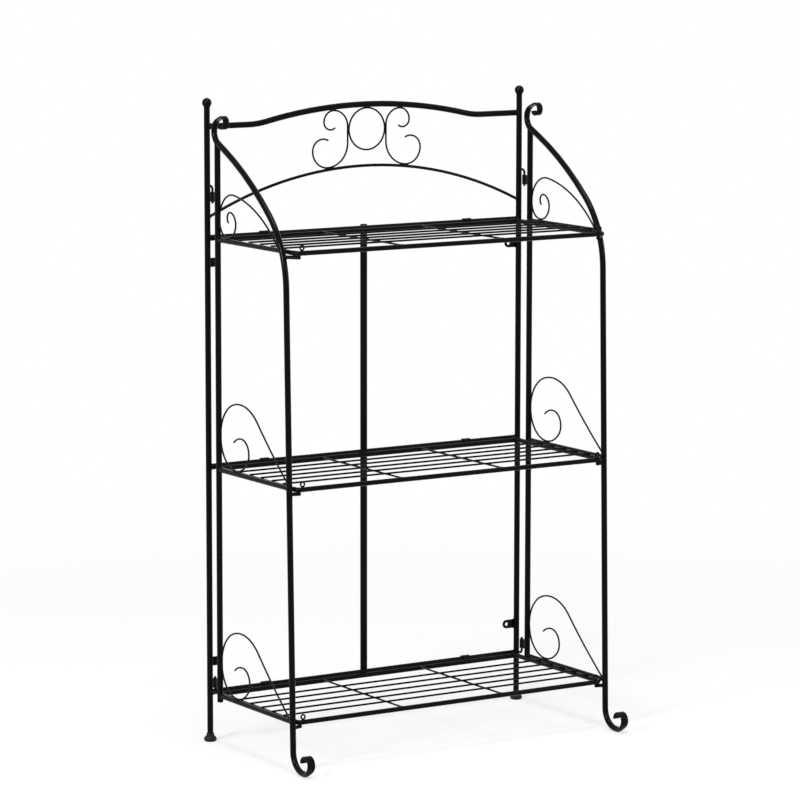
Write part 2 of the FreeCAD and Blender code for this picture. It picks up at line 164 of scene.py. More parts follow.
# Half the floor's width, and the distances over which its share of plain white rises, with that share
FLOOR_REACH = 60.0
FLOOR_FADE = (0.5, 2.4)
FLOOR_WHITE = (0.6, 1.0)

# Kinds of socket
FLOAT = "NodeSocketFloat"
INTEGER = "NodeSocketInt"
COLOUR = "NodeSocketColor"
MATERIAL = "NodeSocketMaterial"
GEOMETRY = ("Geometry", "NodeSocketGeometry")


# Settings


class StandWeldSettings(bpy.types.PropertyGroup):
    bead_radius: bpy.props.FloatProperty(
        name="Bead radius", description="Radius of the weld bead round a tube", default=0.85 * MM,
        min=0.2 * MM, max=3 * MM, subtype="DISTANCE", unit="LENGTH")
    bead_ripple: bpy.props.FloatProperty(
        name="Bead ripple", description="Share of the radius by which a bead swells and narrows",
        default=0.12, min=0.0, max=0.5, subtype="FACTOR")
    tack_size: bpy.props.FloatProperty(
        name="Tack size", description="Radius of the small tack weld where two wires cross",
        default=1.5 * MM, min=0.5 * MM, max=4 * MM, subtype="DISTANCE", unit="LENGTH")
    seed: bpy.props.IntProperty(
        name="Seed", description="Seed of the small differences between welds", default=7, min=0, max=1000)


class StandFinishSettings(bpy.types.PropertyGroup):
    coat_colour: bpy.props.FloatVectorProperty(
        name="Coat colour", description="Colour of the black powder coat", size=3, subtype="COLOR",
        default=(0.0011, 0.0011, 0.0012), min=0.0, max=1.0)
    coat_roughness: bpy.props.FloatProperty(
        name="Coat roughness", description="Mean roughness of the powder coat", default=0.16,
        min=0.0, max=1.0, subtype="FACTOR")
    plastic_colour: bpy.props.FloatVectorProperty(
        name="Plastic colour", description="Colour of the moulded caps and plugs", size=3, subtype="COLOR",
        default=(0.005, 0.005, 0.005), min=0.0, max=1.0)
    plug_dome: bpy.props.FloatProperty(
        name="Plug dome", description="Height of the dome of a tube plug", default=1.6 * MM,
        min=0.2 * MM, max=4 * MM, subtype="DISTANCE", unit="LENGTH")


class StandStageSettings(bpy.types.PropertyGroup):
    floor_colour: bpy.props.FloatVectorProperty(
        name="Floor colour", description="Colour of the plain floor", size=3, subtype="COLOR",
        default=(0.86, 0.86, 0.86), min=0.0, max=1.0)
    key_power: bpy.props.FloatProperty(
        name="Key light", description="Power of the large light at the front left", default=150.0,
        min=0.0, max=2000.0, unit="POWER")
    fill_power: bpy.props.FloatProperty(
        name="Fill light", description="Power of the light at the right", default=45.0,
        min=0.0, max=2000.0, unit="POWER")
    top_power: bpy.props.FloatProperty(
        name="Top light", description="Power of the light overhead", default=70.0,
        min=0.0, max=2000.0, unit="POWER")
    world_level: bpy.props.FloatProperty(
        name="World level", description="Strength of the even light from all round", default=0.5,
        min=0.0, max=2.0)


# Node helpers


def link_chain(tree, *links):
    """Link sockets given as (from node, output, to node, input), by name or number."""
    for source, output, target, entry in links:
        tree.links.new(source.outputs[output], target.inputs[entry])


def add_node(tree, kind, **sockets):
    node = tree.nodes.new(kind)
    for name, value in sockets.items():
        node.inputs[name].default_value = value
    return node


def math_node(tree, operation):
    node = tree.nodes.new("ShaderNodeMath")
    node.operation = operation
    return node


def range_node(tree, low, high, to_low=0.0, to_high=1.0):
    """Map Range node that takes low to to_low and high to to_high."""
    node = tree.nodes.new("ShaderNodeMapRange")
    node.inputs["From Min"].default_value = low
    node.inputs["From Max"].default_value = high
    node.inputs["To Min"].default_value = to_low
    node.inputs["To Max"].default_value = to_high
    return node


def attribute_node(tree, name):
    """Vector that every point carries under a name."""
    node = tree.nodes.new("GeometryNodeInputNamedAttribute")
    node.data_type = "FLOAT_VECTOR"
    node.inputs["Name"].default_value = name
    return node


def random_output(tree, group_in, low, high):
    """Output of a random number between low and high for every point, from the group's seed."""
    node = tree.nodes.new("FunctionNodeRandomValue")
    node.data_type = "FLOAT"
    limits = [socket for socket in node.inputs if socket.enabled and socket.type == "VALUE"]
    limits[0].default_value = low
    limits[1].default_value = high
    seed_in = [socket for socket in node.inputs if socket.name == "Seed"][0]
    tree.links.new(group_in.outputs["Seed"], seed_in)
    return [socket for socket in node.outputs if socket.enabled][0]


def socket_id(tree, name):
    for item in tree.interface.items_tree:
        if item.item_type == "SOCKET" and item.in_out == "INPUT" and item.name == name:
            return item.identifier
    raise KeyError(name)


def new_tree(name, kind, inputs, outputs):
    """Node tree with named inputs and outputs, given as (name, kind of socket)."""
    tree = bpy.data.node_groups.new(name, kind)
    for label, socket in inputs:
        tree.interface.new_socket(name=label, in_out="INPUT", socket_type=socket)
    for label, socket in outputs:
        tree.interface.new_socket(name=label, in_out="OUTPUT", socket_type=socket)
    return tree, tree.nodes.new("NodeGroupInput"), tree.nodes.new("NodeGroupOutput")


def finish_tree(tree, source, output, group_in, group_out):
    """Realised instances, smooth shading and the material, at the end of a tree."""
    realise = tree.nodes.new("GeometryNodeRealizeInstances")
    smooth = tree.nodes.new("GeometryNodeSetShadeSmooth")
    paint = tree.nodes.new("GeometryNodeSetMaterial")
    link_chain(
        tree,
        (source, output, realise, "Geometry"),
        (realise, "Geometry", smooth, "Geometry"),
        (smooth, "Geometry", paint, "Geometry"),
        (group_in, "Material", paint, "Material"),
        (paint, "Geometry", group_out, "Geometry"),
    )


def bead_tree():
    """Sweeps a rippled round bead along every edge loop."""
    name = "Stand weld bead"
    if name in bpy.data.node_groups:
        return bpy.data.node_groups[name]
    inputs = (GEOMETRY, ("Bead radius", FLOAT), ("Ripple", FLOAT), ("Seed", INTEGER), ("Material", MATERIAL))
    tree, group_in, group_out = new_tree(name, "GeometryNodeTree", inputs, (GEOMETRY,))
    curve = tree.nodes.new("GeometryNodeMeshToCurve")
    ripple = math_node(tree, "MULTIPLY_ADD")
    ripple.inputs[2].default_value = 1.0
    radius = tree.nodes.new("GeometryNodeSetCurveRadius")
    profile = add_node(tree, "GeometryNodeCurvePrimitiveCircle", Resolution=8)
    sweep = tree.nodes.new("GeometryNodeCurveToMesh")
    tree.links.new(random_output(tree, group_in, -1.0, 1.0), ripple.inputs[0])
    link_chain(
        tree,
        (group_in, "Ripple", ripple, 1),
        (group_in, "Geometry", curve, "Mesh"),
        (curve, "Curve", radius, "Curve"),
        (ripple, "Value", radius, "Radius"),
        (group_in, "Bead radius", profile, "Radius"),
        (radius, "Curve", sweep, "Curve"),
        (profile, "Curve", sweep, "Profile Curve"),
    )
    finish_tree(tree, sweep, "Mesh", group_in, group_out)
    return tree


def tack_tree():
    """Puts a flattened, slightly different weld blob on every point, turned along the point's way."""
    name = "Stand tack weld"
    if name in bpy.data.node_groups:
        return bpy.data.node_groups[name]
    inputs = (GEOMETRY, ("Tack size", FLOAT), ("Seed", INTEGER), ("Material", MATERIAL))
    tree, group_in, group_out = new_tree(name, "GeometryNodeTree", inputs, (GEOMETRY,))
    blob = add_node(tree, "GeometryNodeMeshIcoSphere", Radius=1.0, Subdivisions=3)
    turn = tree.nodes.new("FunctionNodeAlignRotationToVector")
    turn.axis = "X"
    sizes = tree.nodes.new("ShaderNodeVectorMath")
    sizes.operation = "SCALE"
    vary = math_node(tree, "MULTIPLY")
    place = tree.nodes.new("GeometryNodeInstanceOnPoints")
    tree.links.new(random_output(tree, group_in, 0.88, 1.12), vary.inputs[0])
    link_chain(
        tree,
        (group_in, "Tack size", vary, 1),
        (attribute_node(tree, "shape"), "Attribute", sizes, 0),
        (vary, 0, sizes, "Scale"),
        (attribute_node(tree, "way"), "Attribute", turn, "Vector"),
        (group_in, "Geometry", place, "Points"),
        (blob, "Mesh", place, "Instance"),
        (turn, "Rotation", place, "Rotation"),
        (sizes, "Vector", place, "Scale"),
    )
    finish_tree(tree, place, "Instances", group_in, group_out)
    return tree


# Mesh helpers


def outward(mesh):
    shell = bmesh.new()
    shell.from_mesh(mesh)
    bmesh.ops.recalc_face_normals(shell, faces=shell.faces)
    shell.to_mesh(mesh)
    shell.free()


def grown_mesh(name, mesh, tree, values):
    """Plain mesh that the tree makes from the given mesh."""
    holder = bpy.data.objects.new(name, mesh)
    bpy.context.scene.collection.objects.link(holder)
    modifier = holder.modifiers.new(name, "NODES")
    modifier.node_group = tree
    for label, value in values.items():
        modifier[socket_id(tree, label)] = value
    bpy.context.view_layer.update()
    graph = bpy.context.evaluated_depsgraph_get()
    result = bpy.data.meshes.new_from_object(holder.evaluated_get(graph))
    holder.modifiers.remove(modifier)
    bpy.data.objects.remove(holder)
    outward(result)
    return result


def smooth_mesh(name, shell):
    """Smooth mesh of a bmesh, which is freed."""
    mesh = bpy.data.meshes.new(name)
    shell.to_mesh(mesh)
    shell.free()
    mesh.shade_smooth()
    return mesh


def merged(name, meshes):
    joined = bmesh.new()
    for mesh in meshes:
        joined.from_mesh(mesh)
    return smooth_mesh(name, joined)


def new_piece(name, mesh, body, material):
    """Object that rides on a body, with its place in its mesh."""
    piece = bpy.data.objects.new(name, mesh)
    bpy.context.scene.collection.objects.link(piece)
    mesh.materials.clear()
    mesh.materials.append(material)
    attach(piece, body)
    return piece


def node_points(node):
    return [vertex.co.copy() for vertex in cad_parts[node].data.vertices]


def solids_of(node, axis, gap):
    """Points of a node's separate solids, told apart by gaps along one axis."""
    points = sorted(node_points(node), key=lambda p: p[axis])
    groups = [[points[0]]]
    for point in points[1:]:
        if point[axis] - groups[-1][-1][axis] > gap:
            groups.append([])
        groups[-1].append(point)
    return groups


def middle(points):
    lo = Vector([min(p[k] for p in points) for k in range(3)])
    hi = Vector([max(p[k] for p in points) for k in range(3)])
    return (lo + hi) / 2


def extreme(points, axis, sign, keep=lambda p: True):
    """Middle of the points that lie furthest along one axis."""
    chosen = [p for p in points if keep(p)]
    best = max(sign * p[axis] for p in chosen)
    return middle([p for p in chosen if sign * p[axis] > best - END_NEAR])


# Shader groups, each with named inputs and outputs


def grain_group():
    """Fine grain of a moulded or sprayed surface, and patches that are duller or glossier."""
    name = "Stand fine grain"
    if name in bpy.data.node_groups:
        return bpy.data.node_groups[name]
    tree, group_in, group_out = new_tree(
        name, "ShaderNodeTree", (("Grain size", FLOAT), ("Roughness", FLOAT)),
        (("Height", FLOAT), ("Roughness", FLOAT)))
    place = tree.nodes.new("ShaderNodeTexCoord")
    per_size = math_node(tree, "DIVIDE")
    per_size.inputs[0].default_value = 1.0
    orange_peel = add_node(tree, "ShaderNodeTexNoise", Detail=3.0, Roughness=0.55)
    patches = add_node(tree, "ShaderNodeTexNoise", Scale=14.0, Detail=4.0, Roughness=0.6)
    spread = range_node(tree, 0.3, 0.7, -0.06, 0.08)
    total = math_node(tree, "ADD")
    link_chain(
        tree,
        (group_in, "Grain size", per_size, 1),
        (per_size, 0, orange_peel, "Scale"),
        (place, "Object", orange_peel, "Vector"),
        (place, "Object", patches, "Vector"),
        (patches, "Fac", spread, "Value"),
        (spread, 0, total, 0),
        (group_in, "Roughness", total, 1),
        (total, 0, group_out, "Roughness"),
        (orange_peel, "Fac", group_out, "Height"),
    )
    return tree


def dust_group():
    """Colour under the thin, uneven film of dust that settles on surfaces that face up."""
    name = "Stand dust film"
    if name in bpy.data.node_groups:
        return bpy.data.node_groups[name]
    tree, group_in, group_out = new_tree(
        name, "ShaderNodeTree", (("Colour", COLOUR), ("Amount", FLOAT)), (("Colour", COLOUR),))
    place = tree.nodes.new("ShaderNodeTexCoord")
    facing = tree.nodes.new("ShaderNodeNewGeometry")
    parts = tree.nodes.new("ShaderNodeSeparateXYZ")
    upward = range_node(tree, 0.35, 1.0)
    specks = add_node(tree, "ShaderNodeTexNoise", Scale=260.0, Detail=5.0, Roughness=0.65)
    sparse = range_node(tree, 0.42, 0.75)
    product = math_node(tree, "MULTIPLY")
    scaled = math_node(tree, "MULTIPLY")
    blend = tree.nodes.new("ShaderNodeMix")
    blend.data_type = "RGBA"
    colours = [socket for socket in blend.inputs if socket.type == "RGBA"]
    colours[1].default_value = DUST_COLOUR
    factor = [socket for socket in blend.inputs if socket.type == "VALUE"][0]
    mixed = [socket for socket in blend.outputs if socket.type == "RGBA"][0]
    link_chain(
        tree,
        (facing, "Normal", parts, 0),
        (parts, "Z", upward, "Value"),
        (place, "Object", specks, "Vector"),
        (specks, "Fac", sparse, "Value"),
        (upward, 0, product, 0),
        (sparse, 0, product, 1),
        (product, 0, scaled, 0),
        (group_in, "Amount", scaled, 1),
    )
    tree.links.new(scaled.outputs[0], factor)
    tree.links.new(group_in.outputs["Colour"], colours[0])
    tree.links.new(mixed, group_out.inputs["Colour"])
    return tree


def finish_material(name, colour, roughness, grain_size, bump, dust, specular):
    """Principled material whose colour, roughness and bump come from the groups."""
    material = bpy.data.materials.new(name)
    material.use_nodes = True
    tree = material.node_tree
    shader = tree.nodes["Principled BSDF"]
    shader.inputs["Specular IOR Level"].default_value = specular
    grain = tree.nodes.new("ShaderNodeGroup")
    grain.node_tree = grain_group()
    grain.inputs["Grain size"].default_value = grain_size
    grain.inputs["Roughness"].default_value = roughness
    film = tree.nodes.new("ShaderNodeGroup")
    film.node_tree = dust_group()
    film.inputs["Colour"].default_value = (*colour, 1.0)
    film.inputs["Amount"].default_value = dust
    relief = add_node(tree, "ShaderNodeBump", Strength=bump, Distance=BUMP_HEIGHT)
    link_chain(
        tree,
        (film, "Colour", shader, "Base Color"),
        (grain, "Roughness", shader, "Roughness"),
        (grain, "Height", relief, "Height"),
        (relief, "Normal", shader, "Normal"),
    )
    return material


def powder_coat():
    name = "Black powder coat"
    if name in bpy.data.materials:
        return bpy.data.materials[name]
    look = bpy.context.scene.stand_finish
    return finish_material(
        name, look.coat_colour, look.coat_roughness, grain_size=1.6 * MM, bump=0.2, dust=0.05, specular=0.07)


def cap_plastic():
    name = "Moulded black plastic"
    if name in bpy.data.materials:
        return bpy.data.materials[name]
    look = bpy.context.scene.stand_finish
    return finish_material(
        name, look.plastic_colour, roughness=0.45, grain_size=0.5 * MM, bump=0.4, dust=0.2, specular=0.16)


# Front legs


class LegLine:
    """Axis of a front leg, from its knee up to the rolled top and down to the scroll foot.

    A run is a length and 0, or a radius and the degrees that it turns. A taper is the number of the run
    in which the tube goes from round to flat.
    """

    knee_y = POST_Y - 269.4 * MM
    straight = 744.7 * MM
    heading = math.radians(88.65)
    foot_r = 31.0 * MM
    knee_z = LEG_R + foot_r * (1 - math.cos(heading))
    bend_r = 159.0 * MM
    tail_heading = math.radians(25.35)
    up_runs = (
        (straight, 0), (bend_r, -46.8), (586.0 * MM, -16.5), (25.7 * MM, 0), (20.8 * MM, 82.65),
        (20.8 * MM, 50.0), (13.5 * MM, 0), (9.7 * MM, 217.0), (7.0 * MM, 70.0))
    up_taper = 5
    down_runs = (
        (foot_r, -88.65), (4.0 * MM, 0), (23.4 * MM, -56.3), (12.4 * MM, -125.0), (10.5 * MM, -95.0))
    down_taper = 2

    @classmethod
    def at(cls, z):
        """Depth and direction of the axis at a height, up to the end of the first bend."""
        top_y = cls.knee_y + cls.straight * math.cos(cls.heading)
        top_z = cls.knee_z + cls.straight * math.sin(cls.heading)
        if z <= top_z:
            y = cls.knee_y + (z - cls.knee_z) / math.tan(cls.heading)
            return y, Vector((0, math.cos(cls.heading), math.sin(cls.heading)))
        centre_y = top_y + cls.bend_r * math.sin(cls.heading)
        centre_z = top_z - cls.bend_r * math.cos(cls.heading)
        y = centre_y - math.sqrt(cls.bend_r ** 2 - (z - centre_z) ** 2)
        radial = Vector((0, y - centre_y, z - centre_z)).normalized()
        return y, Vector((0, radial.z, -radial.y))


def rest_ends(side, group):
    """Where a shelf rest leaves the axis of its leg, and its tip."""
    z = middle(group).z
    root = Vector((side * POST_X, LegLine.at(z)[0], z))
    tip = Vector((side * min(abs(p.x) for p in group), REST_Y, z))
    return root, tip


def walk(y, z, heading, runs):
    """Stations along straight runs and bends: depth, height, heading, number of the run and share of it."""
    stations = []
    for number, (size, turn) in enumerate(runs):
        length = abs(math.radians(turn)) * size if turn else size
        short_steps = math.ceil(length / STRIP_STEP) if length < LONG_RUN else 1
        steps = max(1, math.ceil(abs(turn) / BEND_STEP), short_steps)
        for k in range(steps):
            stations.append((y, z, heading, number, k / steps))
            if turn == 0:
                y += length / steps * math.cos(heading)
                z += length / steps * math.sin(heading)
                continue
            hand = math.copysign(1.0, turn)
            after = heading + math.radians(turn) / steps
            y += hand * size * (math.sin(after) - math.sin(heading))
            z += hand * size * (math.cos(heading) - math.cos(after))
            heading = after
    stations.append((y, z, heading, len(runs) - 1, 1.0))
    return stations


def strip_point(share, width, thick):
    """Point on the outline of a strip with round edges, at a share of the way round from one edge."""
    edge = thick / 2
    flat, bow = width - thick, math.pi * edge
    along = (share % 1.0) * 2 * (flat + bow)
    if along < bow / 2:
        return flat / 2 + edge * math.cos(along / edge), edge * math.sin(along / edge)
    along -= bow / 2
    if along < flat:
        return flat / 2 - along, edge
    along -= flat
    if along < bow:
        return -flat / 2 - edge * math.sin(along / edge), edge * math.cos(along / edge)
    along -= bow
    if along < flat:
        return -flat / 2 + along, -edge
    along -= flat
    return flat / 2 + edge * math.sin(along / edge), -edge * math.cos(along / edge)


def leg_ring(side, station, flatness, width):
    """Ring of points round the leg's axis, between a round tube and a strip that is wide along X."""
    y, z, heading = station[:3]
    ring = []
    for k in range(LEG_POINTS):
        t = 2 * math.pi * k / LEG_POINTS
        wide, thin = strip_point(k / LEG_POINTS, width, STRIP_T)
        wide = wide * flatness + LEG_R * math.cos(t) * (1 - flatness)
        thin = thin * flatness + LEG_R * math.sin(t) * (1 - flatness)
        ring.append(Vector((
            side * POST_X + wide, y - thin * math.sin(heading), z + thin * math.cos(heading))))
    return ring


def leg_half(start_heading, runs, taper_run):
    """Stations from the knee to one end of the leg, each with how flat it is, from 0 to 1."""
    half = []
    for station in walk(LegLine.knee_y, LegLine.knee_z, start_heading, runs):
        number, share = station[3:]
        flatness = share * share * (3 - 2 * share) if number == taper_run else float(number > taper_run)
        half.append((station, flatness))
    return half


def leg_mesh(side):
    """One tube from the scroll foot to the rolled top, both ends beaten to a strip with eased corners."""
    down = leg_half(LegLine.heading - math.pi, LegLine.down_runs, LegLine.down_taper)
    up = leg_half(LegLine.heading, LegLine.up_runs, LegLine.up_taper)
    shell = bmesh.new()
    rings = []
    for half, way, full in ((down[::-1], -1, FOOT_STRIP_W), (up[1:], 1, TOP_STRIP_W)):
        end = half[0][0] if way < 0 else half[-1][0]
        for station, flatness in half:
            gap = math.hypot(station[0] - end[0], station[1] - end[1])
            inside = max(0.0, STRIP_CORNER - gap) if flatness == 1.0 else 0.0
            narrowing = 2 * (STRIP_CORNER - math.sqrt(STRIP_CORNER ** 2 - inside ** 2))
            ring = leg_ring(side, station, flatness, full - narrowing)
            if way < 0:
                ring = [ring[-k] for k in range(len(ring))]
            rings.append([shell.verts.new(point) for point in ring])
    for low, high in zip(rings, rings[1:]):
        for k in range(LEG_POINTS):
            after = (k + 1) % LEG_POINTS
            shell.faces.new((low[k], low[after], high[after], high[k]))
    shell.faces.new(rings[0])
    shell.faces.new(rings[-1])
    bmesh.ops.recalc_face_normals(shell, faces=shell.faces)
    mesh = smooth_mesh("front_leg_tube", shell)
    mesh.set_sharp_from_angle(angle=LEG_SHARP_EDGE)
    return mesh


# Welds


def perpendicular(v, axis):
    return v - axis * v.dot(axis)


def butt_loop(point, way, radius, tube_point, tube_way, tube_radius):
    """Edge loop where a round rod that leaves a tube comes out of the tube's surface."""
    way, tube_way = way.normalized(), tube_way.normalized()
    across = perpendicular(tube_way, way)
    if across.length < TINY:
        across = perpendicular(X, way)
    across.normalize()
    other = way.cross(across)
    leaving = perpendicular(way, tube_way)
    loop = []
    for k in range(LOOP_POINTS):
        t = 2 * math.pi * k / LOOP_POINTS
        start = point + (across * math.cos(t) + other * math.sin(t)) * radius
        offset = perpendicular(start - tube_point, tube_way)
        a, b, c = leaving.dot(leaving), offset.dot(leaving), offset.dot(offset) - tube_radius ** 2
        travel = (-b + math.sqrt(max(b * b - a * c, 0.0))) / a
        loop.append(start + way * travel)
    return loop


def ring_loop(centre, way, radius):
    """Edge loop round the end of a rod that lies against another."""
    way = way.normalized()
    across = way.orthogonal().normalized()
    other = way.cross(across)
    return [centre + (across * math.cos(t) + other * math.sin(t)) * radius
            for t in (2 * math.pi * k / LOOP_POINTS for k in range(LOOP_POINTS))]


def crossing_loop(rail_point, rail_r, tube_point, tube_r):
    """Edge loop round the place where an upright tube touches a level rail in front of it."""
    gap = tube_point.y - rail_point.y
    wide = math.sqrt(tube_r ** 2 - (gap - rail_r) ** 2)
    loop = []
    for k in range(LOOP_POINTS):
        t = 2 * math.pi * k / LOOP_POINTS
        x = wide * math.cos(t)
        depth = gap - math.sqrt(tube_r ** 2 - x ** 2)
        z = math.sqrt(max(rail_r ** 2 - depth ** 2, 0.0))
        z = math.copysign(z, math.sin(t))
        loop.append(Vector((tube_point.x + x, rail_point.y + depth, rail_point.z + z)))
    return loop


def loops_mesh(name, loops):
    mesh = bpy.data.meshes.new(name)
    points, edges = [], []
    for loop in loops:
        first = len(points)
        points.extend(loop)
        count = len(loop)
        edges.extend((first + k, first + (k + 1) % count) for k in range(count))
    mesh.from_pydata(points, edges, [])
    return mesh


def tacks_mesh(name, tacks):
    """Points with the blob's shape and way kept as attributes."""
    mesh = bpy.data.meshes.new(name)
    mesh.from_pydata([point for point, blob, along in tacks], [], [])
    shape = mesh.attributes.new("shape", "FLOAT_VECTOR", "POINT")
    way = mesh.attributes.new("way", "FLOAT_VECTOR", "POINT")
    for k, (point, blob, along) in enumerate(tacks):
        shape.data[k].vector = blob
        way.data[k].vector = along
    return mesh


def add_welds(body, loops, tacks):
    """One piece for a body, made of its beads and its tacks."""
    weld = bpy.context.scene.stand_weld
    coat = powder_coat()
    beads = grown_mesh(body + "_beads", loops_mesh(body + "_beads", loops), bead_tree(), {
        "Bead radius": weld.bead_radius, "Ripple": weld.bead_ripple, "Seed": weld.seed, "Material": coat})
    blobs = grown_mesh(body + "_tacks", tacks_mesh(body + "_tacks", tacks), tack_tree(), {
        "Tack size": weld.tack_size, "Seed": weld.seed, "Material": coat})
    new_piece(body + "_welds", merged(body + "_welds", (beads, blobs)), body, coat)


def back_frame_welds():
    loops, tacks = [], []
    arch = node_points("arched_rod")
    half = POST_X - POST_R
    crown = max(p.z for p in arch) - ARCH_ROD_R
    foot = middle([p for p in arch if p.x > half - POST_NEAR]).z
    arch_r = (half ** 2 + (crown - foot) ** 2) / (2 * (crown - foot))
    arch_way = math.asin(half / arch_r)
    pins = sorted({round(middle(group).z, 4) for group in solids_of("hinge_pins", 2, FAR_APART)})
    pin_roots = (pins[0] - PIN_ROOT, pins[1] + PIN_ROOT)
    top_rail_z = middle([p for p in node_points("top_rail") if abs(p.x) > TOP_RAIL_END_X]).z
    for side in SIDES:
        post = Vector((side * POST_X, POST_Y, 0))
        for z in (*LEVELS.values(), top_rail_z):
            loops.append(butt_loop(post + Z * z, -X * side, RAIL_R - BEAD_SINK, post, Z, POST_R))
        way = Vector((-side * math.cos(arch_way), 0, math.sin(arch_way)))
        end = Vector((side * half, POST_Y, foot))
        loops.append(butt_loop(end - way * ARCH_START, way, ARCH_ROD_R, post, Z, POST_R))
        for z in pin_roots:
            loops.append(butt_loop(post + Z * z, -Y, PIN_R, post, Z, POST_R))
        for group in solids_of("fixing_ears", 2, FAR_APART):
            ear = middle([p for p in group if p.x * side > 0])
            root = Vector((side * (POST_X - EAR_ROOT), ear.y, ear.z))
            tacks.append((root - Z * EAR_WELD_Z, BLOB, X))
            tacks.append((root + Z * EAR_WELD_Z, BLOB, X))
    for z in LEVELS.values():
        loops.append(crossing_loop(Vector((0, POST_Y, z)), RAIL_R, Vector((0, TUBE.y, z)), TUBE_R))
    tacks.append((Vector((0, POST_Y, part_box("crest_ring")[1][2])), BLOB, X))
    ring_z = box_centre("crest_ring").z
    for side in SIDES:
        wire = [p for p in node_points("crest_scrolls") if p.x * side > 0]
        tacks.append((extreme(wire, 2, 1), BLOB, X))
        tacks.append((extreme(wire, 2, -1), BLOB, X))
        tacks.append((Vector((extreme(wire, 0, -side).x, POST_Y, ring_z)), BLOB, Z))
    add_welds("back_frame", loops, tacks)


def leg_crossing_z(name):
    """Height at which a front leg passes over the top of its rear upright."""
    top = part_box("rear_upright_" + name)[1][2]
    over = [p for p in node_points("front_leg_" + name)
            if abs(p.y - UPRIGHT.y) < CROSSING_NEAR and top - CROSSING_BELOW < p.z < top + CROSSING_ABOVE]
    return middle(over).z if over else top + CROSSING_RISE


def side_frame_welds(side):
    loops, tacks = [], []
    name = SIDE_NAMES[side]
    plane = X * (side * POST_X)
    upright = plane + Y * UPRIGHT.y
    for z in LEVELS.values():
        leg_y, leg_way = LegLine.at(z)
        loops.append(butt_loop(upright + Z * z, -Y, CROSS_R, upright, Z, UPRIGHT_R))
        leg = plane + Vector((0, leg_y, z))
        loops.append(butt_loop(leg, Y, CROSS_R, leg, leg_way, LEG_R))
    for group in solids_of("shelf_rests_" + name, 2, FAR_APART):
        root, tip = rest_ends(side, group)
        loops.append(butt_loop(root, tip - root, REST_R, root, LegLine.at(root.z)[1], LEG_R))
    top_way = Vector((0, math.cos(LegLine.tail_heading), math.sin(LegLine.tail_heading)))
    crossing = upright + Z * leg_crossing_z(name)
    loops.append(butt_loop(crossing, -Z, UPRIGHT_R - BEAD_SINK, crossing, top_way, LEG_R))
    for level in LEVEL_NAMES:
        wire = node_points(level + "_scroll_" + name)
        rear = extreme(wire, 1, 1)
        inner = (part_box(level + "_scroll_" + name)[0][1] + rear.y) / 2
        tacks.append((rear, WIRE_BLOB, Z))
        tacks.append((extreme(wire, 2, -1, lambda p: p.y > inner), WIRE_BLOB, Y))
        tacks.append((extreme(wire, 1, -1), WIRE_BLOB, Z))
    for group in solids_of("hinge_eyes_" + name, 2, FAR_APART):
        for z in (min(p.z for p in group), max(p.z for p in group)):
            tacks.append((upright + Vector((0, UPRIGHT_R, z)), BLOB, Z))
    add_welds(name + "_side_frame", loops, tacks)


def shelf_welds(level):
    loops, tacks = [], []
    name = level + "_shelf_"
    side_rail = max(p.x for p in node_points(name + "side_rails")) - SHELF_ROD_R
    rail_z = box_centre(name + "side_rails").z
    front_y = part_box(name + "front_rail")[0][1] + SHELF_ROD_R
    rear_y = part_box(name + "rear_rail")[1][1] - SHELF_ROD_R
    slats = [middle(group) for group in solids_of(name + "slats", 1, SLATS_APART)]
    rail_lo, rail_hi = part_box(name + "side_rails")
    for side in SIDES:
        for y in (rail_lo[1], rail_hi[1]):
            loops.append(ring_loop(Vector((side * side_rail, y, rail_z)), Y, SHELF_ROD_R - CORNER_BEAD_SINK))
        for slat in slats:
            tacks.append((Vector((side * side_rail, slat.y, slat.z - SLAT_WELD_DROP)), SLAT_END_BLOB, X))
    for group in solids_of(name + "cross_bars", 0, FAR_APART):
        bar = middle(group)
        for y, way in ((rear_y, -Y), (front_y, Y)):
            rail = Vector((bar.x, y, rail_z))
            loops.append(butt_loop(Vector((bar.x, y, bar.z)), way, SLAT_R, rail, X, SHELF_ROD_R))
        for slat in slats:
            tacks.append((Vector((bar.x, slat.y, (slat.z + bar.z) / 2)), SLAT_BAR_BLOB, X))
    for group in solids_of(name + "pivot_clips", 0, FAR_APART):
        clip = middle(group)
        for side in SIDES:
            spot = Vector((clip.x + side * CLIP_WELD_X, rear_y + CLIP_WELD_Y, rail_z))
            tacks.append((spot, BLOB, Y))
    for group in solids_of(name + "corner_eyes", 0, FAR_APART):
        eye = middle(group)
        tacks.append((Vector((eye.x, eye.y, rail_z + SHELF_ROD_R)), BLOB, X))
    add_welds(level + "_shelf", loops, tacks)


# Turned pieces


def turned(name, profile, centre, way=Z, steps=48):
    """Closed turned mesh from (radius, height) points, standing on its centre along a way."""
    shell = bmesh.new()
    turn = Z.rotation_difference(way.normalized()).to_matrix().to_4x4()
    place = Matrix.Translation(centre) @ turn
    angles = [2 * math.pi * k / steps for k in range(steps)]
    rings = []
    for radius, height in profile:
        if radius < TINY:
            rings.append([shell.verts.new(place @ Vector((0, 0, height)))])
            continue
        rings.append([
            shell.verts.new(place @ Vector((radius * math.cos(t), radius * math.sin(t), height)))
            for t in angles])
    for low, high in zip(rings, rings[1:]):
        for k in range(steps):
            corners = [low[k % len(low)], low[(k + 1) % len(low)],
                       high[(k + 1) % len(high)], high[k % len(high)]]
            unique = list(dict.fromkeys(corners))
            if len(unique) > 2:
                shell.faces.new(unique)
    bmesh.ops.recalc_face_normals(shell, faces=shell.faces)
    return smooth_mesh(name, shell)


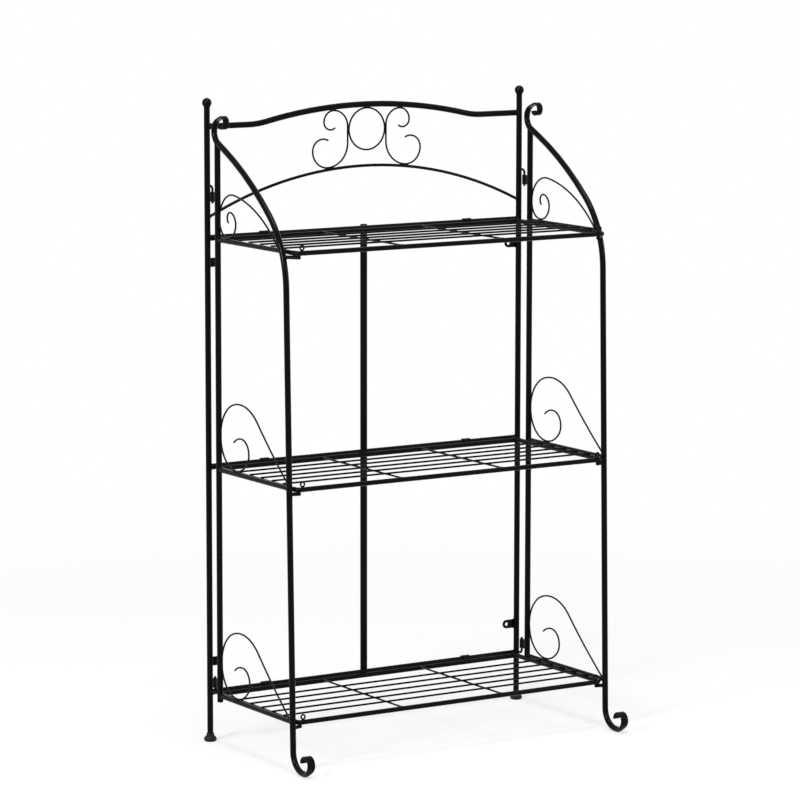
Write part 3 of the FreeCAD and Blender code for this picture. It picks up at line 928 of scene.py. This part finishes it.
def arc_profile(points, turns=6, most=0.48):
    """Profile from (radius, height, ease) points, its corners eased by at most a share of their sides."""
    eased = []
    for k, (radius, height, ease) in enumerate(points):
        here = Vector((radius, height))
        if ease == 0 or k in (0, len(points) - 1):
            eased.append((radius, height))
            continue
        before = Vector(points[k - 1][:2]) - here
        after = Vector(points[k + 1][:2]) - here
        reach = min(ease, before.length * most, after.length * most)
        start = here + before.normalized() * reach
        end = here + after.normalized() * reach
        for step in range(turns + 1):
            t = step / turns
            point = start * (1 - t) ** 2 + here * 2 * t * (1 - t) + end * t ** 2
            eased.append((point.x, point.y))
    return eased


def dome_points(radius, base, height):
    """Profile of a dome between its rim and its top, without the top itself."""
    points = []
    for k in range(DOME_STEPS):
        t = math.pi / 2 * k / DOME_STEPS
        points.append((radius * math.cos(t), base + (height - base) * math.sin(t)))
    return points


def foot_cap_meshes():
    """Moulded feet: a round base, a waist and a collar with a rolled lip round the post."""
    wide = box_size("foot_caps").y / 2
    tall = box_size("foot_caps").z
    bore = POST_R + CAP_GAP
    collar = wide * 0.58
    outline = [
        (0, 0, 0), (wide * 0.84, 0, wide * 0.1), (wide * 0.99, tall * 0.16, wide * 0.16),
        (wide, tall * 0.34, wide * 0.16), (wide * 0.84, tall * 0.56, wide * 0.2),
        (collar * 1.02, tall * 0.74, wide * 0.12), (collar, tall * 0.84, wide * 0.05),
        (collar * 1.05, tall * 0.92, wide * 0.05), (collar * 0.99, tall, wide * 0.05), (bore, tall, 0),
        (bore, tall * 0.5, 0), (0, tall * 0.5, 0)]
    profile = arc_profile(outline)
    return [turned("foot_cap", profile, Vector((side * POST_X, POST_Y, 0))) for side in SIDES]


def neck_meshes(steps=10, flare=2.2):
    """Smooth necks where the balls run into the posts."""
    ball_r = box_size("ball_finials").y / 2
    ball_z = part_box("ball_finials")[1][2] - ball_r
    low_r = POST_R + NECK_SKIN
    meet_r = ball_r * 0.8
    meet_z = ball_z - math.sqrt(ball_r ** 2 - meet_r ** 2)
    low_z = meet_z - ball_r * 0.62
    sunk_z = meet_z + NECK_SUNK
    profile = [(0, low_z), (low_r, low_z)]
    for k in range(1, steps + 1):
        t = k / steps
        profile.append((low_r + (meet_r - low_r) * t ** flare, low_z + (meet_z - low_z) * t))
    profile.append((meet_r * 0.96, sunk_z))
    profile.append((0, sunk_z))
    return [turned("neck", profile, Vector((side * POST_X, POST_Y, 0))) for side in SIDES]


def plug_mesh(centre, way, radius):
    """Plug with a low dome over a short rim, its shank sunk in the end of a tube."""
    dome = bpy.context.scene.stand_finish.plug_dome
    shank_r = radius * 0.9
    profile = [(0, -PLUG_SHANK), (shank_r, -PLUG_SHANK), (shank_r, 0), (radius * 0.98, 0)]
    profile += dome_points(radius * 0.99, dome * 0.35, dome)
    profile.append((0, dome))
    return turned("plug", profile, centre, way, steps=32)


def dome_mesh(centre, way, radius):
    """Rounded tip over the cut end of a rod."""
    sunk, tall = radius * 0.2, radius * 0.55
    profile = [(0, -sunk), (radius, -sunk)]
    profile += dome_points(radius * 1.01, 0, tall)
    profile.append((0, tall))
    return turned("dome", profile, centre, way, steps=24)


# Operators for the stand's own pieces


class STAND_OT_finishes(bpy.types.Operator):
    """Give every metal and plastic part of the frame its finish"""

    bl_idname = "stand.finishes"
    bl_label = "Finishes"

    def execute(self, context):
        coat, plastic = powder_coat(), cap_plastic()
        for name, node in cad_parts.items():
            finish = plastic if name == "foot_caps" else coat
            for slot in node.material_slots:
                slot.material = finish
        return {"FINISHED"}


class STAND_OT_welds(bpy.types.Operator):
    """Weld beads round the tubes and tack welds on the wires of every body"""

    bl_idname = "stand.welds"
    bl_label = "Welds"

    def execute(self, context):
        back_frame_welds()
        for side in SIDES:
            side_frame_welds(side)
        for level in LEVEL_NAMES:
            shelf_welds(level)
        return {"FINISHED"}


class STAND_OT_front_legs(bpy.types.Operator):
    """Front legs bent from one tube, with the scroll foot and the rolled top beaten flat"""

    bl_idname = "stand.front_legs"
    bl_label = "Front legs"

    def execute(self, context):
        for side in SIDES:
            name = SIDE_NAMES[side]
            body = name + "_side_frame"
            piece = new_piece("bent_leg_" + name, leg_mesh(side), body, powder_coat())
            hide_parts("front_leg_" + name)
        return {"FINISHED"}


class STAND_OT_foot_caps(bpy.types.Operator):
    """Moulded caps under the rear posts"""

    bl_idname = "stand.foot_caps"
    bl_label = "Foot caps"

    def execute(self, context):
        mesh = merged("moulded_foot_caps", foot_cap_meshes())
        piece = new_piece("moulded_foot_caps", mesh, "back_frame", cap_plastic())
        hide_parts("foot_caps")
        return {"FINISHED"}


class STAND_OT_necks(bpy.types.Operator):
    """Smooth necks under the ball finials"""

    bl_idname = "stand.necks"
    bl_label = "Ball necks"

    def execute(self, context):
        mesh = merged("ball_necks", neck_meshes())
        new_piece("ball_necks", mesh, "back_frame", powder_coat())
        return {"FINISHED"}


class STAND_OT_tube_plugs(bpy.types.Operator):
    """Plugs in the open tube ends and rounded tips on the shelf rests"""

    bl_idname = "stand.tube_plugs"
    bl_label = "Tube plugs"

    def execute(self, context):
        lo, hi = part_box("centre_tube")
        ends = [plug_mesh(Vector((TUBE.x, TUBE.y, lo[2])), -Z, TUBE_R),
                plug_mesh(Vector((TUBE.x, TUBE.y, hi[2])), Z, TUBE_R)]
        mesh = merged("centre_tube_plugs", ends)
        new_piece("centre_tube_plugs", mesh, "back_frame", cap_plastic())
        for side in SIDES:
            name = SIDE_NAMES[side]
            body = name + "_side_frame"
            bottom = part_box("rear_upright_" + name)[0][2]
            plug = plug_mesh(Vector((side * POST_X, UPRIGHT.y, bottom)), -Z, UPRIGHT_R)
            new_piece(name + "_upright_plug", plug, body, cap_plastic())
            tips = []
            for group in solids_of("shelf_rests_" + name, 2, FAR_APART):
                root, tip = rest_ends(side, group)
                way = (tip - root).normalized()
                reach = max((p - root).dot(way) for p in group)
                tips.append(dome_mesh(root + way * reach, way, REST_R))
            mesh = merged(name + "_rest_tips", tips)
            new_piece(name + "_rest_tips", mesh, body, powder_coat())
        return {"FINISHED"}


# Stage


def area_light(name, place, aim, width, height, power):
    data = bpy.data.lights.new(name, "AREA")
    data.shape = "RECTANGLE"
    data.size, data.size_y = width, height
    data.energy = power
    lamp = bpy.data.objects.new(name, data)
    bpy.context.scene.collection.objects.link(lamp)
    lamp.location = place
    lamp.rotation_euler = (Vector(aim) - Vector(place)).to_track_quat("-Z", "Y").to_euler()


def white_rays(tree):
    """Node that gives 1 to the rays of the camera, of reflections and through glass, which see white."""
    path = tree.nodes.new("ShaderNodeLightPath")
    seen = math_node(tree, "MAXIMUM")
    shown = math_node(tree, "MAXIMUM")
    link_chain(
        tree,
        (path, "Is Camera Ray", seen, 0),
        (path, "Is Glossy Ray", seen, 1),
        (seen, 0, shown, 0),
        (path, "Is Transmission Ray", shown, 1),
    )
    return shown


def stage_world(level):
    """Even light from all round that the camera and reflections see as a white background."""
    world = bpy.data.worlds.new("Studio")
    bpy.context.scene.world = world
    world.use_nodes = True
    tree = world.node_tree
    tree.nodes.clear()
    even = add_node(tree, "ShaderNodeBackground", Color=WHITE, Strength=level)
    white = add_node(tree, "ShaderNodeBackground", Color=WHITE, Strength=1.0)
    mix = tree.nodes.new("ShaderNodeMixShader")
    out = tree.nodes.new("ShaderNodeOutputWorld")
    link_chain(
        tree,
        (white_rays(tree), 0, mix, 0),
        (even, 0, mix, 1),
        (white, 0, mix, 2),
        (mix, 0, out, "Surface"),
    )


def stage_floor(colour):
    """Pale floor that the camera sees as nearly white, with the object's shadow kept."""
    mesh = bpy.data.meshes.new("floor")
    corners = [(x * FLOOR_REACH, y * FLOOR_REACH, 0) for x, y in ((-1, -1), (1, -1), (1, 1), (-1, 1))]
    mesh.from_pydata(corners, [], [(0, 1, 2, 3)])
    floor = bpy.data.objects.new("floor", mesh)
    bpy.context.scene.collection.objects.link(floor)
    material = bpy.data.materials.new("Pale floor")
    material.use_nodes = True
    tree = material.node_tree
    shader = tree.nodes["Principled BSDF"]
    shader.inputs["Base Color"].default_value = (*colour, 1.0)
    shader.inputs["Roughness"].default_value = 0.8
    glow = add_node(tree, "ShaderNodeEmission", Color=WHITE, Strength=1.0)
    place = tree.nodes.new("ShaderNodeTexCoord")
    distance = tree.nodes.new("ShaderNodeVectorMath")
    distance.operation = "LENGTH"
    fade = range_node(tree, *FLOOR_FADE, *FLOOR_WHITE)
    fade.interpolation_type = "SMOOTHSTEP"
    share = math_node(tree, "MULTIPLY")
    mix = tree.nodes.new("ShaderNodeMixShader")
    out = tree.nodes["Material Output"]
    link_chain(
        tree,
        (place, "Object", distance, 0),
        (distance, "Value", fade, "Value"),
        (white_rays(tree), 0, share, 0),
        (fade, 0, share, 1),
        (share, 0, mix, 0),
        (shader, 0, mix, 1),
        (glow, 0, mix, 2),
        (mix, 0, out, "Surface"),
    )
    mesh.materials.append(material)


class STAND_OT_stage(bpy.types.Operator):
    """Camera at the photograph's viewing angle, plain floor and soft studio light"""

    bl_idname = "stand.stage"
    bl_label = "Stage"

    def execute(self, context):
        look = context.scene.stand_stage
        data = bpy.data.cameras.new("camera")
        data.sensor_width = SENSOR_W
        data.lens = SENSOR_W * FOCAL_LENGTH / IMAGE_W
        data.clip_end = CLIP_END
        camera = bpy.data.objects.new("camera", data)
        context.scene.collection.objects.link(camera)
        camera.location = CAMERA_PLACE
        turn = Matrix.Rotation(CAMERA_AZIMUTH, 4, "Z") @ Matrix.Rotation(math.pi / 2 - CAMERA_DOWN, 4, "X")
        camera.rotation_euler = (turn @ Matrix.Rotation(CAMERA_ROLL, 4, "Z")).to_euler()
        context.scene.camera = camera
        context.scene.view_settings.view_transform = "Standard"
        stage_world(look.world_level)
        stage_floor(look.floor_colour)
        for light, power in zip(LIGHTS, (look.key_power, look.fill_power, look.top_power)):
            area_light(*light, power)
        return {"FINISHED"}


# Panel and registration


class STAND_PT_panel(bpy.types.Panel):
    """Lists the stand's pieces and their settings"""

    bl_idname = "STAND_PT_panel"
    bl_label = "Folding stand"
    bl_space_type = "VIEW_3D"
    bl_region_type = "UI"
    bl_category = "Stand"

    def draw(self, context):
        layout = self.layout
        for group in (context.scene.stand_weld, context.scene.stand_finish, context.scene.stand_stage):
            for key in group.__annotations__:
                layout.prop(group, key)
        for operator in OPERATORS:
            layout.operator(operator.bl_idname)


OPERATORS = (
    STAND_OT_stage, STAND_OT_finishes, STAND_OT_welds, STAND_OT_front_legs, STAND_OT_foot_caps,
    STAND_OT_necks, STAND_OT_tube_plugs)
CLASSES = (StandWeldSettings, StandFinishSettings, StandStageSettings) + OPERATORS + (STAND_PT_panel,)


def register():
    for item in CLASSES:
        bpy.utils.register_class(item)
    bpy.types.Scene.stand_weld = bpy.props.PointerProperty(type=StandWeldSettings)
    bpy.types.Scene.stand_finish = bpy.props.PointerProperty(type=StandFinishSettings)
    bpy.types.Scene.stand_stage = bpy.props.PointerProperty(type=StandStageSettings)


def unregister():
    del bpy.types.Scene.stand_weld
    del bpy.types.Scene.stand_finish
    del bpy.types.Scene.stand_stage
    for item in reversed(CLASSES):
        bpy.utils.unregister_class(item)


def main():
    register()
    bpy.ops.stand.stage()
    bpy.ops.stand.finishes()
    bpy.ops.stand.welds()
    bpy.ops.stand.front_legs()
    bpy.ops.stand.foot_caps()
    bpy.ops.stand.necks()
    bpy.ops.stand.tube_plugs()


if __name__ == "__main__":
    main()
